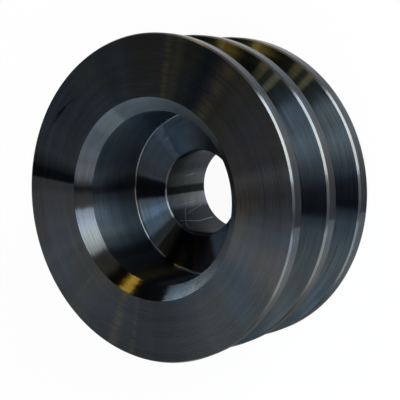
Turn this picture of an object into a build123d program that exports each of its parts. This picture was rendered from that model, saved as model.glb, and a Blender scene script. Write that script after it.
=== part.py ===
from build123d import *
import math
import os

# Alternator pulley for two V-belts, turned from one piece of steel bar.
# Millimetres. The origin is the centre of the hub's back end face, where the pulley stands,
# and +Z runs along the bore axis towards the nut side.

# Belt grooves
groove_count = 2
groove_spacing = 12.5          # middle of one groove to the middle of the next
groove_angle = 36.0            # included angle of the V, in degrees
groove_depth = 10.9
groove_floor_width = 2.4

# Rims
front_rim_width = 2.8
back_rim_width = 3.5
front_break_along = 0.5        # along the land, on the edge of each rim that faces the nut side
front_break_down = 0.25        # towards the axis, on the same edge
back_break = 0.2               # 45 degree break on the edges that face the alternator
back_rim_break = 0.5           # 45 degree break round the back face

# Recess for the shaft nut and its socket
recess_diameter = 33.2
recess_depth = 16.1
recess_corner_radius = 0.5
countersink_depth = 2.6        # 45 degree mouth of the recess, at the front face
wall_under_grooves = 3.5       # steel left between the groove floors and the recess

# Bore and hub
bore_diameter = 17.0
bore_entry_break = 0.25        # at the recess floor
bore_exit_break = 0.4          # at the hub's back end face
hub_wall = 6.0                 # steel round the bore, where the hub stands out of the back face
hub_step = 1.7                 # the hub stands this far out of the back face
hub_break = 0.5

# Sizes that follow
recess_radius = recess_diameter / 2
rim_radius = recess_radius + wall_under_grooves + groove_depth
groove_floor_radius = rim_radius - groove_depth
groove_mouth = groove_floor_width + 2 * groove_depth * math.tan(math.radians(groove_angle / 2))
rims_length = front_rim_width + (groove_count - 1) * groove_spacing + groove_mouth + back_rim_width
overall_length = hub_step + rims_length
recess_floor = overall_length - recess_depth
bore_radius = bore_diameter / 2
hub_radius = bore_radius + hub_wall
first_groove_middle = overall_length - front_rim_width - groove_mouth / 2
groove_middles = [first_groove_middle - i * groove_spacing for i in range(groove_count)]

standing = (Align.CENTER, Align.CENTER, Align.MIN)
hanging = (Align.CENTER, Align.CENTER, Align.MAX)


def blank():
    """Bar turned to the rim diameter, with the hub standing out of its back face."""
    rims = Pos(0, 0, hub_step) * Cylinder(rim_radius, rims_length, align=standing)
    hub = Cylinder(hub_radius, overall_length, align=standing)
    return rims + hub


def groove(middle):
    """V-groove with straight flanks and a flat floor, cut round the bore axis."""
    v_section = Polyline(
        (rim_radius, 0, middle + groove_mouth / 2),
        (groove_floor_radius, 0, middle + groove_floor_width / 2),
        (groove_floor_radius, 0, middle - groove_floor_width / 2),
        (rim_radius, 0, middle - groove_mouth / 2),
        close=True,
    )
    return revolve(make_face(v_section), Axis.Z)


def recess():
    """Counterbore with a rounded floor corner and a 45 degree countersunk mouth."""
    counterbore = Cylinder(recess_radius, recess_depth, align=hanging)
    counterbore = fillet(counterbore.edges().group_by(Axis.Z)[0], recess_corner_radius)
    countersink = Cone(recess_radius, recess_radius + countersink_depth, countersink_depth, align=hanging)
    return Pos(0, 0, overall_length) * (counterbore + countersink)


def round_edge(radius, height):
    """The pulley's circular edge of this radius at this height."""
    circles = pulley.edges().filter_by(GeomType.CIRCLE)
    at_height = circles.filter_by(lambda edge: abs(edge.center().Z - height) < 1e-4)
    return at_height.sort_by(lambda edge: abs(edge.radius - radius))[0]


def land_of(edge):
    """The cylindrical land of the rim that this edge bounds."""
    return pulley.faces().filter_by(GeomType.CYLINDER).filter_by(lambda face: edge in face.edges())[0]


pulley = blank()
for middle in groove_middles:
    pulley -= groove(middle)
pulley -= recess()
pulley -= Cylinder(bore_radius, overall_length, align=standing)

# Rim edges towards the nut side: a flat break, longer along the land than it is deep
for height in [overall_length] + [middle - groove_mouth / 2 for middle in groove_middles]:
    edge = round_edge(rim_radius, height)
    pulley = chamfer(edge, front_break_along, front_break_down, reference=land_of(edge))

# Rim edges towards the alternator
for middle in groove_middles:
    pulley = chamfer(round_edge(rim_radius, middle + groove_mouth / 2), back_break)
pulley = chamfer(round_edge(rim_radius, hub_step), back_rim_break)

# Edges of the hub and the bore
pulley = chamfer(round_edge(hub_radius, 0), hub_break)
pulley = chamfer(round_edge(bore_radius, recess_floor), bore_entry_break)
pulley = chamfer(round_edge(bore_radius, 0), bore_exit_break)

pulley = pulley.solid()
pulley.label = "pulley"
os.makedirs("parts", exist_ok=True)
export_step(pulley, "parts/pulley.step")
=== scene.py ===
from collections import namedtuple
import math

import bpy
from mathutils import Matrix, Vector


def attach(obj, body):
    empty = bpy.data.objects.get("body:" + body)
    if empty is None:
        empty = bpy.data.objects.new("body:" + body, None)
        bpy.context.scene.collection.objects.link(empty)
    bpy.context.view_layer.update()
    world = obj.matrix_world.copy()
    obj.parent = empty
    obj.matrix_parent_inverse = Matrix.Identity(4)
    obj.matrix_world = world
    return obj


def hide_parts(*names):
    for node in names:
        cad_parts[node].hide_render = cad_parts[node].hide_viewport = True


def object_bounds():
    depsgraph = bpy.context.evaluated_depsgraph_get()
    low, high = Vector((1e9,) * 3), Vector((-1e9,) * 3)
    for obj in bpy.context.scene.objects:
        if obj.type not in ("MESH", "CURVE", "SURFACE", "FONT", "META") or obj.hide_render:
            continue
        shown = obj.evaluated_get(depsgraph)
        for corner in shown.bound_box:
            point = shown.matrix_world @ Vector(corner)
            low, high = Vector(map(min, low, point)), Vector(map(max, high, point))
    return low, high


# Alternator pulley: one turned steel piece, standing on its hub, bore axis up.
# Lengths are in millimetres up to the mesh, and the scene is in metres.

MM = 0.001

# Belt grooves and rims
GROOVES = 2
GROOVE_MOUTH = 9.483
GROOVE_FLOOR_WIDTH = 2.4
GROOVE_DEPTH = 10.9
GROOVE_SPACING = 12.5
FRONT_RIM = 2.8
EDGE_ALONG = 0.5               # break on the front edge of each rim, along the land
EDGE_DOWN = 0.25               # and towards the axis
SMALL_EDGE = 0.2               # break where a groove begins
BACK_EDGE = 0.5

# Recess, bore and hub
RECESS_RADIUS = 16.6
RECESS_DEPTH = 16.1
RECESS_CORNER = 0.5
COUNTERSINK = 2.6
BORE_RADIUS = 8.5
BORE_ENTRY = 0.25
BORE_EXIT = 0.4
HUB_RADIUS = 14.5
HUB_STEP = 1.7
HUB_EDGE = 0.5

# Turning
SEGMENTS = 384
CORNER = 0.06                  # radius left on every sharp corner
INNER_CORNER = 2 * CORNER      # and where the tool's nose leaves one in the grooves and at the hub
CORNER_STEPS = 4
TURN_MAP = "turn"              # UV map: share of a turn, and distance along the section
SECTION_UNIT = 100.0           # mm of section in one unit of that map

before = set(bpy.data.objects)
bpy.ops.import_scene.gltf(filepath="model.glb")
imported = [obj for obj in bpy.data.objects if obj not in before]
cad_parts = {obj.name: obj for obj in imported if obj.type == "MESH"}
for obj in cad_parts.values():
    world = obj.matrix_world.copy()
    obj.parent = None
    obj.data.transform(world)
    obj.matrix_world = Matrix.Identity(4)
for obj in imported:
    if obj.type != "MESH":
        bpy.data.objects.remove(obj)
cad_low, cad_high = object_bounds()
RIM_RADIUS = cad_high.x / MM
LENGTH = cad_high.z / MM


# Shape

# Corner of the half section: its zone runs up to the next corner, and its rounding may be a zone itself
Corner = namedtuple("Corner", "radius height zone rounding own_zone", defaults=(CORNER, None))

# Ring of the turned mesh: its zone is the strip up to the next ring
Ring = namedtuple("Ring", "radius height normal zone")


def half_section():
    """Corners from the back end of the bore, past the front face and the rims, to the end of the hub."""
    slope = (GROOVE_MOUTH - GROOVE_FLOOR_WIDTH) / 2 / GROOVE_DEPTH
    floor = LENGTH - RECESS_DEPTH
    corners = [
        Corner(BORE_RADIUS + BORE_EXIT, 0.0, "break"),
        Corner(BORE_RADIUS, BORE_EXIT, "bore"),
        Corner(BORE_RADIUS, floor - BORE_ENTRY, "entry"),
        Corner(BORE_RADIUS + BORE_ENTRY, floor, "seat"),
        Corner(RECESS_RADIUS, floor, "wall", RECESS_CORNER, "corner"),
        Corner(RECESS_RADIUS, LENGTH - COUNTERSINK, "sink"),
        Corner(RECESS_RADIUS + COUNTERSINK, LENGTH, "face"),
        Corner(RIM_RADIUS - EDGE_DOWN, LENGTH, "edge"),
        Corner(RIM_RADIUS, LENGTH - EDGE_ALONG, "land"),
    ]
    for groove in range(GROOVES):
        middle = LENGTH - FRONT_RIM - GROOVE_MOUTH / 2 - groove * GROOVE_SPACING
        corners += groove_corners(middle, slope)
    corners += [
        Corner(RIM_RADIUS, HUB_STEP + BACK_EDGE, "small_edge"),
        Corner(RIM_RADIUS - BACK_EDGE, HUB_STEP, "back"),
        Corner(HUB_RADIUS, HUB_STEP, "hub_side", INNER_CORNER),
        Corner(HUB_RADIUS, HUB_EDGE, "break"),
        Corner(HUB_RADIUS - HUB_EDGE, 0.0, "hub_end"),
    ]
    return corners


def groove_corners(middle, slope):
    """Corners of one belt groove, from its front edge to the land behind it."""
    upper = middle + GROOVE_MOUTH / 2
    lower = middle - GROOVE_MOUTH / 2
    groove_floor = RIM_RADIUS - GROOVE_DEPTH
    return [
        Corner(RIM_RADIUS, upper + SMALL_EDGE, "small_edge"),
        Corner(RIM_RADIUS - SMALL_EDGE, upper - SMALL_EDGE * slope, "flank"),
        Corner(groove_floor, middle + GROOVE_FLOOR_WIDTH / 2, "groove_floor", INNER_CORNER),
        Corner(groove_floor, middle - GROOVE_FLOOR_WIDTH / 2, "flank", INNER_CORNER),
        Corner(RIM_RADIUS - EDGE_DOWN, lower + EDGE_DOWN * slope, "edge"),
        Corner(RIM_RADIUS, lower - EDGE_ALONG, "land"),
    ]


def rounded_section(corners):
    """Rings of the turned mesh: a few on the rounding of each corner."""
    rings = []
    for i, corner in enumerate(corners):
        previous = corners[i - 1]
        following = corners[(i + 1) % len(corners)]
        here = Vector((corner.radius, corner.height))
        before = (Vector((previous.radius, previous.height)) - here).normalized()
        after = (Vector((following.radius, following.height)) - here).normalized()
        half_angle = before.angle(after) / 2
        reach = corner.rounding / math.tan(half_angle)
        centre = here + (before + after).normalized() * (corner.rounding / math.sin(half_angle))
        start = here + before * reach - centre
        finish = here + after * reach - centre
        # The centre of a convex rounding lies in the steel, and its arms point out of it
        convex = start.dot(Vector((-before.y, before.x))) > 0
        for step in range(CORNER_STEPS + 1):
            arm = start.slerp(finish, step / CORNER_STEPS).normalized() * corner.rounding
            point = centre + arm
            normal = arm.normalized() if convex else -arm.normalized()
            zone = corner.zone if step >= CORNER_STEPS / 2 else previous.zone
            if corner.own_zone and step < CORNER_STEPS:
                zone = corner.own_zone
            rings.append(Ring(point.x, point.y, normal, zone))
    return rings


def turned_mesh(name, rings, finishes):
    """Revolve the rings round Z, and give the strip after each ring the finish of its zone."""
    vertices = []
    for ring in rings:
        for s in range(SEGMENTS):
            angle = 2 * math.pi * s / SEGMENTS
            x = ring.radius * math.cos(angle)
            y = ring.radius * math.sin(angle)
            vertices.append((x * MM, y * MM, ring.height * MM))
    faces = []
    for i in range(len(rings)):
        j = (i + 1) % len(rings)
        for s in range(SEGMENTS):
            t = (s + 1) % SEGMENTS
            faces.append((i * SEGMENTS + s, i * SEGMENTS + t, j * SEGMENTS + t, j * SEGMENTS + s))
    mesh = bpy.data.meshes.new(name)
    mesh.from_pydata(vertices, [], faces)
    slot_number = {}
    for zone, finish in finishes.items():
        slot_number[zone] = len(mesh.materials)
        mesh.materials.append(finish)
    for face in mesh.polygons:
        face.use_smooth = True
        face.material_index = slot_number[rings[face.index // SEGMENTS].zone]
    add_turn_map(mesh, rings)
    mesh.update()
    piece = bpy.data.objects.new(name, mesh)
    bpy.context.scene.collection.objects.link(piece)
    return piece


def add_turn_map(mesh, rings):
    """Give each face corner its exact normal, and its turn and distance along the section as UV map."""
    lengths = [0.0]
    for i in range(len(rings)):
        here = rings[i]
        following = rings[(i + 1) % len(rings)]
        step = math.hypot(following.radius - here.radius, following.height - here.height)
        lengths.append(lengths[-1] + step)
    uv = mesh.uv_layers.new(name=TURN_MAP)
    normals = []
    for face in mesh.polygons:
        i, s = divmod(face.index, SEGMENTS)
        corner_turns = (s, s + 1, s + 1, s)
        corner_rings = (i, i, i + 1, i + 1)
        for k, loop in enumerate(face.loop_indices):
            uv.data[loop].uv = (corner_turns[k] / SEGMENTS, lengths[corner_rings[k]] / SECTION_UNIT)
            normal = rings[corner_rings[k] % len(rings)].normal
            angle = 2 * math.pi * corner_turns[k] / SEGMENTS
            normals.append((normal.x * math.cos(angle), normal.x * math.sin(angle), normal.y))
    mesh.normals_split_custom_set(normals)


# Steel: every finish has tool marks that run round the axis

STEEL = (0.053, 0.060, 0.070)
BLUED_STEEL = (0.050, 0.066, 0.084)   # the nut seat and the grooves, which hands and cloths reach less
WALL_STEEL = (0.085, 0.112, 0.145)
# brighter than the steel: a painted highlight for the bright line in the recess corner
CORNER_PAINTED_HIGHLIGHT_STEEL = (0.12, 0.135, 0.15)
# brighter steel of the bore's entry: partly edge wear, partly a painted highlight
ENTRY_WEAR_AND_HIGHLIGHT_STEEL = (0.11, 0.125, 0.14)
# darker than the steel, as painted shade for the dark reflections in the bore
BORE_STEEL_PAINTED_SHADE = (0.039, 0.048, 0.056)
# brighter steel of the edge breaks: partly edge wear, partly a painted highlight
EDGE_WEAR_AND_HIGHLIGHT_STEEL = (0.12, 0.13, 0.14)

# Patches that are browner or bluer: what they multiply the steel's colour by, their size and their noise
BROWN = (1.10, 1.00, 0.86)
BLUE = (0.95, 1.00, 1.06)
PATCH_SIZE = 14.0              # mm
PATCH_BLUE_UP_TO = 0.35        # of the noise, which runs from 0 to 1
PATCH_BROWN_FROM = 0.65
SOFT_DETAIL = 3.0              # octaves in the noise of the patches and fans

# Tool marks; the more noise cells go round the axis, the shorter the marks are
LINES_PER_MM = 4.5
LINE_CELLS = 2.2
FINE_LINES_PER_MM = 25.0
FINE_LINE_CELLS = 60.0
BANDS_PER_MM = 0.55
BAND_CELLS = 1.3
FAN_CELLS = 7.0
FEED = 0.45                    # mm that the tool moves along in each turn
MIDDLE = 0.5                   # mean of a noise texture
BAND_TONE = 0.5                # how much the colour varies from ring to ring
FAN_TONE = 0.4                 # and from fan to fan
ROUGH_LEAST = 0.9              # the roughness varies from this share of what is asked
ROUGH_SPREAD = 0.2             # to this much more
ANISOTROPY = 1.0
ACROSS_MARKS = 0.25            # of a turn, from the marks to the way that highlights are drawn out

# Socket numbers of the colour mix
MIX_SHARE = 0
MIX_FIRST = 6
MIX_SECOND = 7
MIX_COLOUR = 2


class Graph:
    """Adds and links the shader nodes of one material or world."""

    def __init__(self, owner):
        self.tree = owner.node_tree

    def add(self, kind, inputs=None, **settings):
        node = self.tree.nodes.new("ShaderNode" + kind)
        for setting, value in settings.items():
            setattr(node, setting, value)
        self.feed(node, inputs or {})
        return node

    def feed(self, node, inputs):
        for name, value in inputs.items():
            if isinstance(value, bpy.types.NodeSocket):
                self.tree.links.new(value, node.inputs[name])
            else:
                node.inputs[name].default_value = value

    def math(self, operation, *values):
        return self.add("Math", dict(enumerate(values)), operation=operation).outputs[0]

    def vector(self, operation, *values):
        return self.add("VectorMath", dict(enumerate(values)), operation=operation).outputs["Vector"]

    def number(self, operation, *values):
        return self.add("VectorMath", dict(enumerate(values)), operation=operation).outputs["Value"]

    def scaled(self, vector, scale):
        return self.add("VectorMath", {0: vector, "Scale": scale}, operation="SCALE").outputs["Vector"]

    def parts(self, vector):
        return self.add("SeparateXYZ", {0: vector}).outputs

    def joined(self, *values):
        return self.add("CombineXYZ", dict(enumerate(values))).outputs[0]

    def noise(self, vector, scale=1.0, detail=2.0):
        return self.add("TexNoise", {"Vector": vector, "Scale": scale, "Detail": detail})

    def smooth(self, value, low, high, bottom=0.0, top=1.0):
        inputs = {"Value": value, "From Min": low, "From Max": high, "To Min": bottom, "To Max": top}
        return self.add("MapRange", inputs, interpolation_type="SMOOTHSTEP").outputs["Result"]

    def mix(self, share, first, second):
        inputs = {MIX_SHARE: share, MIX_FIRST: first, MIX_SECOND: second}
        return self.add("Mix", inputs, data_type="RGBA").outputs[MIX_COLOUR]

    def varied(self, noise, spread):
        """A factor about 1 that follows the noise."""
        return self.math("MULTIPLY_ADD", noise, spread, 1.0 - spread * MIDDLE)


def rgba(colour):
    return (*colour, 1.0)


class TurnedPlace:
    """Where a point lies on the turned piece, in mm."""

    def __init__(self, graph):
        self.point = graph.scaled(graph.add("TexCoord").outputs["Object"], 1 / MM)
        self.x, self.y, self.z = graph.parts(self.point)
        self.out = graph.vector("NORMALIZE", graph.joined(self.x, self.y, 0.0))
        turn_map = graph.add("UVMap", uv_map=TURN_MAP).outputs["UV"]
        self.along = graph.math("MULTIPLY", graph.parts(turn_map)[1], SECTION_UNIT)
        self.graph = graph

    def rings(self, around, per_mm):
        """Coordinates of a noise that is long round the axis and short across it."""
        out_x, out_y, _ = self.graph.parts(self.graph.scaled(self.out, around))
        return self.graph.joined(out_x, out_y, self.graph.math("MULTIPLY", self.along, per_mm))

    def unrolled(self, radius):
        """The surface of a cylinder, laid flat: arc length and height."""
        angle = self.graph.math("ARCTAN2", self.y, self.x)
        return self.graph.joined(self.graph.math("MULTIPLY", angle, radius), self.z, 0.0)


def sector(graph, place, start, finish, start_soft, finish_soft):
    """1 from start to finish and 0 beyond them, each edge spread by its softness; all in degrees."""
    middle = math.radians((start + finish) / 2)
    half = math.radians((finish - start) / 2)
    ahead = graph.number("DOT_PRODUCT", place.out, (math.cos(middle), math.sin(middle), 0.0))
    aside = graph.number("DOT_PRODUCT", place.out, (-math.sin(middle), math.cos(middle), 0.0))
    turn = graph.math("ARCTAN2", aside, ahead)
    rise = math.radians(start_soft)
    fall = math.radians(finish_soft)
    entered = graph.smooth(turn, -half - rise, -half + rise)
    left = graph.smooth(turn, half - fall, half + fall, 1.0, 0.0)
    return graph.math("MULTIPLY", entered, left)


def scratch(graph, point, start, finish, width):
    """1 on the line from start to finish and 0 beyond its width, in mm."""
    run = Vector(finish) - Vector(start)
    away = graph.vector("SUBTRACT", point, start)
    share = graph.math("MULTIPLY", graph.number("DOT_PRODUCT", away, tuple(run)), 1 / run.length_squared)
    share = graph.add("Clamp", {"Value": share}).outputs["Result"]
    gap = graph.number("LENGTH", graph.vector("SUBTRACT", away, graph.scaled(tuple(run), share)))
    return graph.smooth(gap, width / 2, 0.0)


def marked_normal(graph, place, red, green, lean, tilt, waver, fine_tilt):
    """The surface normal, leant across the tool marks, and a little different on each of them."""
    normal = graph.add("NewGeometry").outputs["Normal"]
    tangent = graph.add("Tangent", direction_type="RADIAL", axis="Z").outputs["Tangent"]
    across = graph.vector("CROSS_PRODUCT", tangent, normal)
    slope = graph.math("MULTIPLY_ADD", red, tilt, math.tan(math.radians(lean)) - tilt * MIDDLE)
    if fine_tilt:
        fine = graph.noise(place.rings(FINE_LINE_CELLS, FINE_LINES_PER_MM), detail=0.0).outputs["Fac"]
        fine_slope = graph.math("MULTIPLY_ADD", fine, fine_tilt, -fine_tilt * MIDDLE)
        slope = graph.math("ADD", slope, fine_slope)
    drift = graph.math("MULTIPLY_ADD", green, waver, -waver * MIDDLE)
    tipped = graph.vector("ADD", normal, graph.scaled(across, slope))
    tipped = graph.vector("ADD", tipped, graph.scaled(tangent, drift))
    return graph.vector("NORMALIZE", tipped), tangent


def steel_colour(graph, place, colour, lines, line_tone, feed_tone):
    """The colour, uneven from line to line and in broad rings, radial fans and brown and blue patches."""
    bands = graph.noise(place.rings(BAND_CELLS, BANDS_PER_MM)).outputs["Fac"]
    fans = graph.noise(graph.scaled(place.out, FAN_CELLS), detail=SOFT_DETAIL).outputs["Fac"]
    patches = graph.noise(place.point, 1 / PATCH_SIZE, detail=SOFT_DETAIL).outputs["Fac"]
    tone = graph.varied(lines, line_tone)
    tone = graph.math("MULTIPLY", tone, graph.varied(bands, BAND_TONE))
    tone = graph.math("MULTIPLY", tone, graph.varied(fans, FAN_TONE))
    if feed_tone:
        feed = graph.math("SINE", graph.math("MULTIPLY", place.along, 2 * math.pi / FEED))
        tone = graph.math("MULTIPLY", tone, graph.math("MULTIPLY_ADD", feed, feed_tone, 1.0))
    brown = rgba(c * k for c, k in zip(colour, BROWN))
    blue = rgba(c * k for c, k in zip(colour, BLUE))
    tinted = graph.mix(graph.smooth(patches, PATCH_BLUE_UP_TO, PATCH_BROWN_FROM), blue, brown)
    return graph.vector("MULTIPLY", tinted, graph.joined(tone, tone, tone))


def paint_reflection_sectors(graph, place, shade, painted_reflections):
    """Paint reflections of light and shade: sectors that are lighter or darker than the rest, or of
    another tint.
    """
    for start, finish, start_soft, finish_soft, factor in painted_reflections:
        share = sector(graph, place, start, finish, start_soft, finish_soft)
        shade = graph.mix(share, shade, graph.vector("MULTIPLY", shade, factor))
    return shade


def turned_steel(name, colour=STEEL, line_cells=LINE_CELLS, lines_per_mm=LINES_PER_MM, roughness=0.31,
                 lean=0.0, tilt=0.25, fine_tilt=0.0, waver=0.10, line_tone=0.9, feed_tone=0.0,
                 edge_tint=1.0, painted_reflections=(), wear_and_painted_light=None):
    """Steel with tool marks round the axis.

    lean, in degrees, tips the surface across the marks. tilt and fine_tilt tip it more or less from
    mark to mark, and waver tips it along them. line_tone and feed_tone are how much the colour varies
    from mark to mark and with the feed, and edge_tint is how bright the steel is at a glancing angle.
    painted_reflections are sectors made lighter, darker or of another tint as painted reflections of
    light and shade, and wear_and_painted_light changes the colour and roughness of one surface, for its
    scratches and its painted highlights.
    """
    material = bpy.data.materials.new(name)
    material.use_nodes = True
    graph = Graph(material)
    place = TurnedPlace(graph)
    lines = graph.noise(place.rings(line_cells, lines_per_mm)).outputs["Color"]
    red, green, blue = graph.parts(lines)
    normal, tangent = marked_normal(graph, place, red, green, lean, tilt, waver, fine_tilt)
    shade = steel_colour(graph, place, colour, blue, line_tone, feed_tone)
    shade = paint_reflection_sectors(graph, place, shade, painted_reflections)
    rough = graph.math("MULTIPLY_ADD", blue, ROUGH_SPREAD * roughness, ROUGH_LEAST * roughness)
    if wear_and_painted_light:
        shade, rough = wear_and_painted_light(graph, place, shade, rough)
    shader = material.node_tree.nodes["Principled BSDF"]
    graph.feed(shader, {
        "Metallic": 1.0,
        "Base Color": shade,
        "Roughness": rough,
        "Specular Tint": (edge_tint, edge_tint, edge_tint, 1.0),
        "Anisotropic": ANISOTROPY,
        "Anisotropic Rotation": ACROSS_MARKS,
        "Tangent": tangent,
        "Normal": normal,
    })
    return material


# Where the colour differs round the axis, mostly as painted reflections of light and shade, and where a
# few scratches are; azimuths run from +X towards +Y, in degrees

# Painted reflections: sectors made lighter, darker or of another tint where light and shade are
# reflected, with start, finish, softness of each end, and a factor for red, green and blue
FACE_PAINTED_REFLECTIONS = (
    (65.0, 74.0, 4.0, 0.7, (0.42, 0.42, 0.43)),
    (69.0, 74.0, 1.5, 0.9, (0.38, 0.38, 0.38)),
    (32.0, 74.0, 8.0, 0.7, (0.85, 0.85, 0.86)),
    (79.0, 109.0, 2.0, 3.0, (1.5, 1.42, 1.42)),
    (112.0, 148.0, 3.0, 5.0, (1.13, 1.13, 1.14)),
    (181.0, 198.0, 5.0, 4.0, (0.87, 0.87, 0.90)),
    (229.0, 254.3, 5.0, 0.8, (1.45, 1.30, 1.25)),
    (254.3, 275.0, 0.8, 3.0, (1.65, 1.42, 1.30)),
    (275.0, 300.0, 3.0, 6.0, (0.84, 0.70, 0.66)),
    (306.0, 334.0, 6.0, 3.0, (0.60, 0.65, 0.82)),
    (320.5, 334.0, 3.0, 3.0, (0.55, 0.65, 0.75)),
    (-15.0, 8.0, 5.0, 5.0, (1.30, 1.22, 1.18)),
)
SINK_PAINTED_REFLECTIONS = (
    (207.0, 250.0, 5.0, 5.0, (1.7, 1.7, 1.7)),
    (186.0, 221.0, 5.0, 5.0, (1.5, 1.5, 1.4)),
    (197.0, 212.0, 4.0, 4.0, (1.6, 1.45, 1.3)),
    (143.5, 154.0, 0.8, 1.0, (1.5, 1.5, 1.3)),
    (89.5, 112.0, 0.8, 4.0, (1.5, 1.55, 1.6)),
    (75.0, 89.0, 1.0, 1.0, (0.75, 0.70, 0.70)),
    (62.0, 75.0, 4.0, 2.0, (1.25, 1.22, 1.22)),
    (18.0, 38.0, 5.0, 5.0, (0.93, 0.89, 0.84)),
    (122.0, 139.0, 5.0, 4.0, (1.2, 1.2, 1.2)),
)
WALL_PAINTED_REFLECTIONS = (
    (142.0, 165.0, 4.0, 3.0, (0.45, 0.53, 0.68)),
    (110.0, 128.0, 4.0, 4.0, (0.55, 0.55, 0.55)),
    (94.0, 109.0, 4.0, 3.0, (0.88, 0.90, 0.90)),
    (166.0, 184.0, 3.0, 3.0, (2.2, 2.0, 2.0)),
    (76.0, 81.0, 2.5, 2.0, (0.5, 0.5, 0.55)),
    (48.0, 64.0, 4.0, 4.0, (0.70, 0.78, 0.90)),
)
CORNER_PAINTED_REFLECTIONS = (
    (137.0, 147.0, 2.0, 1.0, (0.12, 0.12, 0.12)),
    (147.0, 172.0, 1.0, 2.0, (2.0, 2.05, 2.2)),
    (122.0, 137.0, 3.0, 2.0, (0.9, 1.0, 1.5)),
)
SEAT_PAINTED_REFLECTIONS = (
    (138.0, 162.0, 3.0, 3.0, (0.2, 0.2, 0.25)),
    (128.0, 138.0, 0.8, 3.0, (0.30, 0.27, 0.26)),
    (160.0, 186.0, 4.0, 4.0, (0.75, 0.45, 0.36)),
    (163.8, 166.6, 0.8, 0.8, (2.2, 1.6, 1.0)),
    (97.0, 124.0, 3.0, 3.0, (1.25, 1.25, 1.3)),
    (70.0, 88.0, 2.0, 2.0, (0.2, 0.2, 0.22)),
    (34.0, 66.0, 3.0, 3.0, (0.65, 0.65, 0.65)),
    (-18.0, 28.0, 8.0, 2.0, (2.0, 2.0, 2.0)),
    (186.0, 214.0, 4.0, 4.0, (3.0, 2.6, 2.4)),
)
BORE_PAINTED_REFLECTIONS = (
    (88.0, 107.0, 1.5, 5.0, (3.8, 3.8, 3.8)),
    (77.5, 87.0, 1.0, 1.0, (0.4, 0.4, 0.4)),
    (56.0, 76.0, 6.0, 1.5, (2.0, 2.0, 2.0)),
    (164.0, 190.0, 4.0, 4.0, (0.1, 0.1, 0.1)),
    (0.0, 30.0, 5.0, 5.0, (0.45, 0.55, 0.68)),
    (152.0, 168.0, 3.0, 3.0, (0.5, 0.6, 0.7)),
)
LAND_PAINTED_REFLECTIONS = (
    (254.3, 276.0, 0.7, 8.0, (0.6, 0.6, 0.6)),
    (226.0, 254.3, 6.0, 0.7, (1.7, 1.7, 1.65)),
    (190.0, 216.0, 6.0, 8.0, (0.3, 0.3, 0.3)),
    (320.0, 336.0, 3.0, 3.0, (5.0, 5.0, 4.6)),
)
EDGE_PAINTED_REFLECTIONS = ((190.0, 222.0, 6.0, 8.0, (0.25, 0.25, 0.25)),)
FLANK_PAINTED_REFLECTIONS = (
    (256.0, 276.0, 1.5, 6.0, (0.55, 0.55, 0.6)),
    (206.0, 255.0, 8.0, 1.5, (1.65, 1.6, 1.55)),
    (333.0, 336.5, 0.9, 0.9, (2.2, 2.1, 1.9)),
    (312.8, 316.6, 0.9, 0.9, (3.8, 3.2, 2.3)),
    (307.0, 309.8, 0.9, 0.9, (4.2, 3.4, 2.5)),
)

# Painted highlights: radial streaks of warm light on the front face, as azimuth, half width and strength
FACE_PAINTED_STREAKS = (
    (160.5, 0.9, 0.5),
    (151.0, 1.8, 0.6),
    (127.5, 0.8, 0.4),
    (341.0, 1.3, 0.9),
    (314.0, 3.0, 0.6),
)
# colour of the painted highlight streaks, a warm light
PAINTED_STREAK_LIGHT = (0.135, 0.125, 0.10)

# Noise that breaks the painted highlight streaks: its grain, the values between which it fades, and what
# it always leaves
STREAK_BREAK_CELLS = 3.0
STREAK_BREAKS_PER_MM = 1.6
STREAK_BREAK_LOW = 0.38
STREAK_BREAK_HIGH = 0.62
STREAK_BREAK_LEAST = 0.25

# Dark scratches of the front face: start and finish as (x, y), and width, in mm
FACE_SCRATCHES = (
    ((18.2, 21.2), (20.4, 18.0), 0.8),
    ((19.4, 19.9), (20.5, 17.9), 1.1),
    ((20.4, 18.2), (21.8, 15.0), 0.45),
)
FACE_SCRATCH_STRENGTH = 0.8
SCRATCH_DARK = (0.006, 0.007, 0.009)

# Bright scratches of the bore: start and finish as (azimuth, height in mm), and strength
BORE_SCRATCHES = (
    ((126.5, 12.6), (133.0, 6.8), 0.7),
    ((133.0, 6.8), (130.5, 1.4), 0.7),
    ((109.5, 8.7), (139.6, 12.4), 0.6),
    ((139.6, 12.4), (150.0, 12.9), 0.9),
    ((134.0, 13.2), (146.0, 11.4), 0.8),
    ((62.6, 7.0), (60.5, 4.6), 0.6),
    ((103.3, 10.8), (100.6, 4.2), 0.35),
    ((118.0, 9.5), (108.0, 3.0), 0.3),
)
BORE_SCRATCH_WIDTH = 0.3       # mm
SCRATCH_BRIGHT = (0.32, 0.35, 0.36)

# The arc of the rims that is smoother and has a painted reflection: start, finish and softness of each
# end
PAINTED_ARC_SECTOR = (306.0, 358.0, 14.0, 14.0)
PAINTED_ARC_BRIGHTER = 3.0          # times the steel's colour
PAINTED_ARC_SHARE = 0.7
ARC_SMOOTHER = 0.6          # share of the roughness that is gone


def face_painted_streaks_and_scratches(graph, place, shade, rough):
    """Painted highlights as radial streaks, and a few dark scratches, on the front face."""
    noise = graph.noise(place.rings(STREAK_BREAK_CELLS, STREAK_BREAKS_PER_MM)).outputs["Fac"]
    streak_breakup = graph.smooth(noise, STREAK_BREAK_LOW, STREAK_BREAK_HIGH, STREAK_BREAK_LEAST, 1.0)
    for azimuth, half_width, strength in FACE_PAINTED_STREAKS:
        painted_streak = sector(graph, place, azimuth - half_width, azimuth + half_width, half_width, half_width)
        painted_streak = graph.math("MULTIPLY", painted_streak, streak_breakup)
        shade = graph.mix(graph.math("MULTIPLY", painted_streak, strength), shade, rgba(PAINTED_STREAK_LIGHT))
    for start, finish, width in FACE_SCRATCHES:
        line = scratch(graph, place.point, (*start, LENGTH), (*finish, LENGTH), width)
        share = graph.math("MULTIPLY", line, FACE_SCRATCH_STRENGTH)
        shade = graph.mix(share, shade, rgba(SCRATCH_DARK))
    return shade, rough


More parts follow.
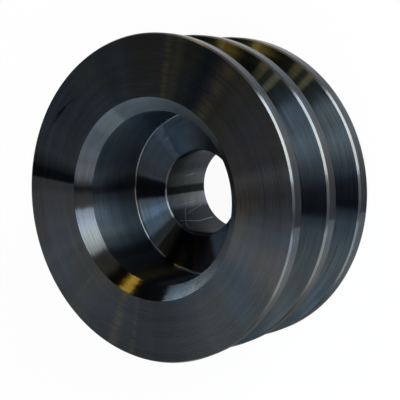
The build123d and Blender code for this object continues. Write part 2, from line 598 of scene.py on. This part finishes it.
def on_unrolled_bore(azimuth, height):
    """Where a point of the bore lies once its surface is laid flat."""
    return (math.radians(azimuth) * BORE_RADIUS, height, 0.0)


def worn_bore(graph, place, shade, rough):
    """Thin bright scratches along and across the bore."""
    flat = place.unrolled(BORE_RADIUS)
    for start, finish, strength in BORE_SCRATCHES:
        ends = (on_unrolled_bore(*start), on_unrolled_bore(*finish))
        line = scratch(graph, flat, *ends, BORE_SCRATCH_WIDTH)
        shade = graph.mix(graph.math("MULTIPLY", line, strength), shade, rgba(SCRATCH_BRIGHT))
    return shade, rough


def land_with_painted_arc(graph, place, shade, rough):
    """One arc of the rims is smoother, and brighter than the rest with a painted reflection."""
    painted_arc = sector(graph, place, *PAINTED_ARC_SECTOR)
    bright = rgba(c * PAINTED_ARC_BRIGHTER for c in STEEL)
    shade = graph.mix(graph.math("MULTIPLY", painted_arc, PAINTED_ARC_SHARE), shade, bright)
    kept = graph.math("MULTIPLY_ADD", painted_arc, -ARC_SMOOTHER, 1.0)
    return shade, graph.math("MULTIPLY", rough, kept)


def face_steel():
    return turned_steel("front_face_steel", roughness=0.28, line_cells=1.2, lines_per_mm=7.0, lean=6,
                        tilt=0.02, fine_tilt=0.3, waver=0.0, line_tone=0.65, feed_tone=0.10,
                        edge_tint=0.45, painted_reflections=FACE_PAINTED_REFLECTIONS, wear_and_painted_light=face_painted_streaks_and_scratches)


def seat_steel():
    return turned_steel("nut_seat_steel", BLUED_STEEL, roughness=0.24, lean=-32, tilt=0.15,
                        painted_reflections=SEAT_PAINTED_REFLECTIONS)


# the bore's darker steel is painted shade
def bore_steel_painted_shade():
    return turned_steel("bore_steel_painted_shade", BORE_STEEL_PAINTED_SHADE, roughness=0.25, lean=16, painted_reflections=BORE_PAINTED_REFLECTIONS,
                        wear_and_painted_light=worn_bore)


def steels():
    """The finish of each zone of the section."""
    return {
        "face": face_steel(),
        "sink": turned_steel("countersink_steel", roughness=0.25, tilt=0.12, painted_reflections=SINK_PAINTED_REFLECTIONS),
        "wall": turned_steel("recess_wall_steel", WALL_STEEL, painted_reflections=WALL_PAINTED_REFLECTIONS),
        "corner": turned_steel("recess_corner_painted_highlight_steel", CORNER_PAINTED_HIGHLIGHT_STEEL, roughness=0.2, painted_reflections=CORNER_PAINTED_REFLECTIONS),
        "seat": seat_steel(),
        "entry": turned_steel("bore_entry_steel", ENTRY_WEAR_AND_HIGHLIGHT_STEEL, roughness=0.2),
        "bore": bore_steel_painted_shade(),
        "break": turned_steel("edge_break_steel", EDGE_WEAR_AND_HIGHLIGHT_STEEL),
        "edge": turned_steel("rim_edge_steel", EDGE_WEAR_AND_HIGHLIGHT_STEEL, lean=-10, tilt=0.1, edge_tint=0.6,
                             painted_reflections=EDGE_PAINTED_REFLECTIONS),
        "land": turned_steel("land_steel", line_tone=2.2, edge_tint=0.6, painted_reflections=LAND_PAINTED_REFLECTIONS,
                             wear_and_painted_light=land_with_painted_arc),
        "small_edge": turned_steel("back_edge_steel", EDGE_WEAR_AND_HIGHLIGHT_STEEL),
        "flank": turned_steel("groove_flank_steel", BLUED_STEEL, edge_tint=0.5, painted_reflections=FLANK_PAINTED_REFLECTIONS),
        "groove_floor": turned_steel("groove_floor_steel", BLUED_STEEL),
        "back": turned_steel("back_face_steel", lean=6),
        "hub_side": turned_steel("hub_side_steel"),
        "hub_end": turned_steel("hub_end_steel", lean=4),
    }


# Studio

# Camera, in mm and degrees: it looks down on the front face, rolled until the pulley's axis lies across
CAMERA_PLACE = Vector((0.0, -121.3, 181.7))
CAMERA_AIM = Vector((-1.4, -7.5, 24.6))
CAMERA_ROLL = -99.05
CAMERA_LENS = 93.3
SENSOR_WIDTH = 36.0
CAMERA_NEAR = 0.01             # metres
CAMERA_FAR = 50.0

WHITE = (1.0, 1.0, 1.0)
FLOOR_PAINT = (0.9, 0.9, 0.9)
FLOOR_GLOW = 0.95              # share of the floor's white that no shadow takes away
FLOOR_HALF = 4.0               # metres
LAMP_DISTANCE = 0.6            # metres, from the middle of the pulley

# Soft lamps: name, azimuths and elevations in degrees that each fills from the pulley, radiance, colour
LAMPS = (
    ("key_low", (268, 317), (0, 24), 10.3, (0.95, 1.01, 1.02)),
    ("key_left", (251, 283), (24, 45), 2.0, (1.06, 0.99, 0.94)),
    ("key_right", (283, 317), (24, 45), 6.5, (0.92, 1.02, 1.03)),
    ("key_top", (268, 300), (45, 62), 3.0, (0.90, 1.01, 1.17)),
    ("fill_high", (165, 240), (32, 62), 1.0, WHITE),
    ("fill_low", (160, 240), (18, 32), 3.2, (0.84, 1.03, 1.10)),
    ("fill_horizon", (205, 240), (0, 18), 3.0, (0.95, 1.02, 1.04)),
    ("side_far", (150, 185), (0, 18), 3.4, (0.90, 1.03, 1.06)),
    ("side_low", (98, 150), (0, 18), 3.0, (0.86, 1.03, 1.12)),
    ("side_mid", (114, 138), (22, 42), 0.5, WHITE),
    ("side_high", (112, 140), (46, 76), 2.2, (0.87, 1.03, 1.10)),
    ("side_back", (84, 108), (34, 52), 1.27, (1.03, 1.00, 0.93)),
    ("front_top", (310, 342), (40, 60), 0.4, (1.06, 1.00, 0.83)),
    ("right_high", (318, 345), (22, 40), 0.3, WHITE),
    ("back_low", (38, 60), (0, 10), 8.0, (0.88, 1.03, 1.08)),
    ("back_right", (60, 84), (0, 14), 3.2, (0.90, 1.02, 1.15)),
    ("warm", (1, 11), (19, 31), 7.5, (1.55, 0.91, 0.13)),
    ("warm_top", (17, 31), (61, 71), 1.4, (1.25, 0.98, 0.45)),
    ("warm_back", (35, 42), (48, 57), 1.2, (1.2, 1.0, 0.6)),
    ("warm_high", (342, 358), (46, 58), 0.8, (1.17, 1.00, 0.53)),
)


def white_floor():
    """Pale floor that the camera and the steel see as white, and that keeps a soft shadow."""
    material = bpy.data.materials.new("white_floor")
    material.use_nodes = True
    graph = Graph(material)
    graph.tree.nodes.clear()
    rays = graph.add("LightPath").outputs
    seen = graph.math("MAXIMUM", rays["Is Camera Ray"], rays["Is Glossy Ray"])
    seen = graph.math("MAXIMUM", seen, rays["Is Transmission Ray"])
    share = graph.math("MULTIPLY", seen, FLOOR_GLOW)
    glow = graph.add("Emission").outputs[0]
    paint = graph.add("BsdfDiffuse", {"Color": rgba(FLOOR_PAINT)}).outputs[0]
    mixed = graph.add("MixShader", {0: share, 1: paint, 2: glow}).outputs[0]
    graph.add("OutputMaterial", {"Surface": mixed})
    return material


def add_floor():
    mesh = bpy.data.meshes.new("floor")
    h = FLOOR_HALF
    mesh.from_pydata([(-h, -h, 0), (h, -h, 0), (h, h, 0), (-h, h, 0)], [], [(0, 1, 2, 3)])
    mesh.materials.append(white_floor())
    floor = bpy.data.objects.new("floor", mesh)
    bpy.context.scene.collection.objects.link(floor)


def direction(azimuth, elevation):
    """Unit vector: azimuth from +X towards +Y, elevation above the floor, in degrees."""
    level = math.cos(math.radians(elevation))
    turn = math.radians(azimuth)
    return Vector((math.cos(turn) * level, math.sin(turn) * level, math.sin(math.radians(elevation))))


def softbox(name, azimuths, elevations, radiance, colour):
    """Soft rectangular lamp that faces the middle of the pulley."""
    middle = sum(azimuths) / 2
    rise = sum(elevations) / 2
    light = bpy.data.lights.new(name, "AREA")
    light.shape = "RECTANGLE"
    half_turn = math.radians((azimuths[1] - azimuths[0]) / 2)
    half_rise = math.radians((elevations[1] - elevations[0]) / 2)
    light.size = 2 * LAMP_DISTANCE * math.tan(half_turn) * math.cos(math.radians(rise))
    light.size_y = 2 * LAMP_DISTANCE * math.tan(half_rise)
    light.energy = radiance * math.pi * light.size * light.size_y
    light.color = colour
    lamp = bpy.data.objects.new(name, light)
    towards = direction(middle, rise)
    lamp.location = towards * LAMP_DISTANCE + Vector((0, 0, LENGTH / 2 * MM))
    lamp.rotation_mode = "QUATERNION"
    lamp.rotation_quaternion = towards.to_track_quat("Z", "Y")
    lamp.visible_camera = False
    bpy.context.scene.collection.objects.link(lamp)


def add_world():
    """World that the camera sees as white past the floor, and that lights nothing."""
    world = bpy.data.worlds.new("studio")
    world.use_nodes = True
    graph = Graph(world)
    seen = graph.add("LightPath").outputs["Is Camera Ray"]
    graph.feed(graph.tree.nodes["Background"], {"Color": rgba(WHITE), "Strength": seen})
    bpy.context.scene.world = world


def add_camera():
    camera = bpy.data.cameras.new("camera")
    camera.sensor_width = SENSOR_WIDTH
    camera.lens = CAMERA_LENS
    camera.clip_start = CAMERA_NEAR
    camera.clip_end = CAMERA_FAR
    item = bpy.data.objects.new("camera", camera)
    back = (CAMERA_PLACE - CAMERA_AIM).normalized()
    level = back.to_track_quat("Z", "Y").to_matrix()
    turned = level @ Matrix.Rotation(math.radians(CAMERA_ROLL), 3, "Z")
    item.matrix_world = Matrix.Translation(CAMERA_PLACE * MM) @ turned.to_4x4()
    bpy.context.scene.collection.objects.link(item)
    bpy.context.scene.camera = item


section = rounded_section(half_section())
pulley = turned_mesh("pulley_turned", section, steels())
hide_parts("pulley")
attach(pulley, "root")

add_floor()
for lamp_row in LAMPS:
    softbox(*lamp_row)
add_world()
add_camera()
bpy.context.scene.view_settings.view_transform = "Standard"
